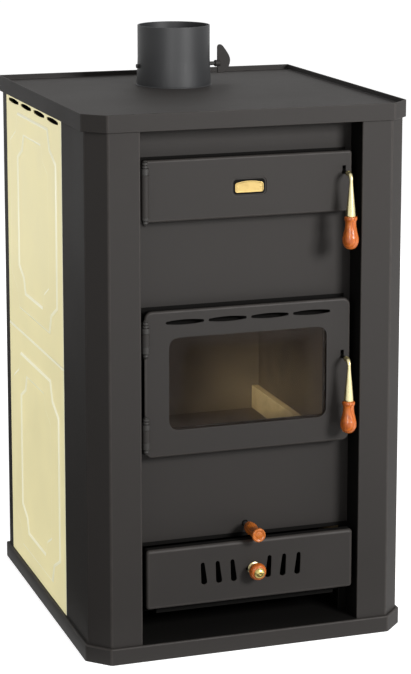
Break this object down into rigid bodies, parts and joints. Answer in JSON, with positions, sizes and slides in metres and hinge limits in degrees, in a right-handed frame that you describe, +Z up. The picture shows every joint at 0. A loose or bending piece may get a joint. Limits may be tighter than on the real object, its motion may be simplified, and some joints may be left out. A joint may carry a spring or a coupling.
{
  "type": "hydronic wood stove",
  "caption": "Free-standing wood stove with a water jacket, upper door, glazed fire door, ash drawer, flue collar with damper, and cream side panels.",
  "frame": {"origin": "centre of the footprint, on the floor, under the base", "axes": "front faces -Y, +X to the right seen from the front, +Z up"},
  "size_m": [0.64, 0.717, 1.152],
  "materials": {
    "painted_steel": "matt charcoal stove paint on sheet steel",
    "black_steel": "matt black paint, unseen inner sheet",
    "cream_enamel": "satin cream enamel on pressed sheet",
    "boiler_steel": "primed boiler plate",
    "cast_iron": "sand-cast, sooted",
    "fireclay": "pressed fireclay brick, chalky",
    "brass": "polished brass",
    "varnished_wood": "turned beech under orange varnish",
    "stove_glass": "clear ceramic glass, slightly smoked",
    "seal_rope": "braided glass-fibre rope",
    "zinc_steel": "zinc-plated steel"
  },
  "bodies": {
    "root": {"base_plinth": "painted_steel", "base_plate": "black_steel", "column_left": "painted_steel", "column_right": "painted_steel", "rear_post_left": "painted_steel", "rear_post_right": "painted_steel", "panel_left_lower": "cream_enamel", "panel_left_upper": "cream_enamel", "panel_right_lower": "cream_enamel", "panel_right_upper": "cream_enamel", "rear_panel": "painted_steel", "casing_screws": "zinc_steel", "top_cover": "painted_steel", "front_plate": "painted_steel", "boiler_stands": "black_steel", "ash_floor": "black_steel", "jacket_left": "boiler_steel", "jacket_right": "boiler_steel", "jacket_rear": "boiler_steel", "jacket_crown": "boiler_steel", "supply_socket": "zinc_steel", "return_socket": "zinc_steel", "drain_socket": "zinc_steel", "sensor_socket": "zinc_steel", "smoke_baffle": "cast_iron", "hearth_plate": "cast_iron", "kerb_bricks": "fireclay", "flue_sleeve": "boiler_steel", "flue_collar": "painted_steel", "upper_hinge_bracket": "painted_steel", "upper_hinge_pin": "painted_steel", "upper_keeper": "zinc_steel", "fire_hinge_brackets": "painted_steel", "fire_hinge_pins": "painted_steel", "fire_keeper": "zinc_steel"},
    "shaker": {"shaker_grate": "cast_iron", "shaker_rod": "zinc_steel", "shaker_knob": "varnished_wood"},
    "damper": {"damper_disc": "black_steel", "damper_shaft": "black_steel", "damper_handle": "painted_steel"},
    "upper_door": {"upper_door_shell": "painted_steel", "upper_door_liner": "black_steel", "upper_door_seal": "seal_rope", "nameplate": "brass"},
    "upper_latch": {"upper_latch_lever": "brass", "upper_latch_grip": "varnished_wood"},
    "fire_door": {"fire_door_shell": "painted_steel", "fire_door_liner": "black_steel", "fire_door_glass": "stove_glass", "glass_clips": "zinc_steel", "fire_door_seal": "seal_rope"},
    "fire_latch": {"fire_latch_lever": "brass", "fire_latch_grip": "varnished_wood"},
    "ash_drawer": {"ash_drawer_front": "painted_steel", "ash_pan": "black_steel"},
    "air_shutter": {"air_shutter": "black_steel", "air_knob_stem": "brass", "air_knob_ball": "varnished_wood", "air_knob_cap": "brass"}
  },
  "joints": [
    {"name": "upper_door_hinge", "type": "hinge", "parent": "root", "child": "upper_door", "pos_m": [-0.207, -0.324, 0.892], "axis": [0, 0, -1], "range_deg": [0, 110]},
    {"name": "upper_latch_lift", "type": "hinge", "parent": "upper_door", "child": "upper_latch", "pos_m": [0.189, -0.298, 0.91], "axis": [-1, 0, 0], "range_deg": [0, 28]},
    {"name": "fire_door_hinge", "type": "hinge", "parent": "root", "child": "fire_door", "pos_m": [-0.207, -0.324, 0.527], "axis": [0, 0, -1], "range_deg": [0, 110]},
    {"name": "fire_latch_lift", "type": "hinge", "parent": "fire_door", "child": "fire_latch", "pos_m": [0.189, -0.298, 0.5535], "axis": [-1, 0, 0], "range_deg": [0, 28]},
    {"name": "ash_drawer_slide", "type": "slide", "parent": "root", "child": "ash_drawer", "axis": [0, -1, 0], "range_m": [0, 0.35]},
    {"name": "air_shutter_slide", "type": "slide", "parent": "ash_drawer", "child": "air_shutter", "axis": [-1, 0, 0], "range_m": [0, 0.013]},
    {"name": "grate_shake", "type": "slide", "parent": "root", "child": "shaker", "axis": [0, -1, 0], "range_m": [-0.015, 0.025]},
    {"name": "damper_turn", "type": "hinge", "parent": "root", "child": "damper", "pos_m": [0, 0.149, 1.07], "axis": [1, 0, 0], "range_deg": [0, 90]}
  ]
}
